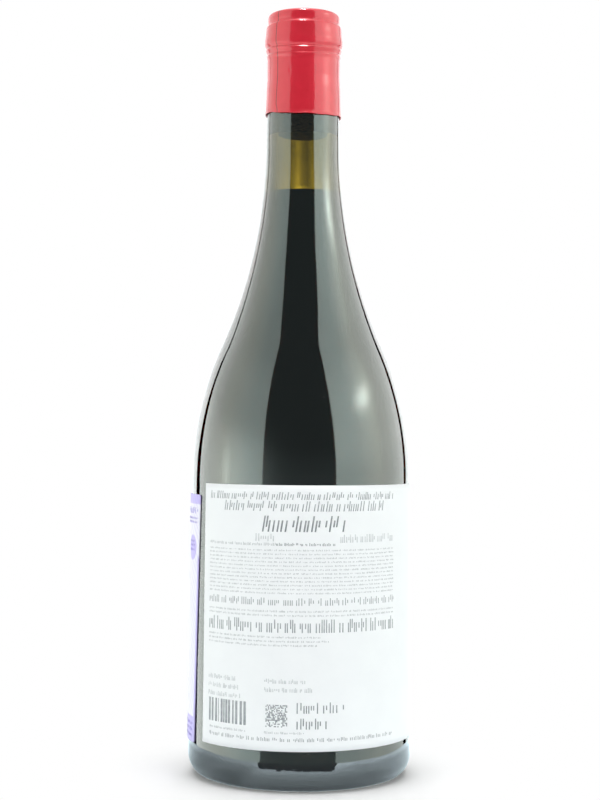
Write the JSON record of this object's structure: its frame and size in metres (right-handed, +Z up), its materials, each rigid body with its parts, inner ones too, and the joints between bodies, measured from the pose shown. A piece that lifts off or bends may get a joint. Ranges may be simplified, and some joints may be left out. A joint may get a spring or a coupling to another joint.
{
  "type": "wine bottle",
  "caption": "Closed glass bottle of red wine with sloping shoulders, a cork under a short red foil capsule, a wrap-round white paper label and a lilac duty strip.",
  "frame": {"origin": "middle of the base, on the surface that the bottle stands on", "axes": "+Z up along the bottle's axis, -Y out of the side with the small print, +X to the right as that side is seen"},
  "size_m": [0.0872, 0.0872, 0.2955],
  "materials": {
    "bottle_glass": "dark green moulded bottle glass, glossy",
    "wine": "deep red wine",
    "cork": "natural cork",
    "capsule_foil": "red lacquered foil, glossy",
    "label_paper": "white coated label paper",
    "strip_paper": "lilac printed paper"
  },
  "bodies": {
    "root": {"bottle": "bottle_glass", "wine": "wine", "cork": "cork", "capsule": "capsule_foil", "label": "label_paper", "strip": "strip_paper"}
  },
  "joints": []
}
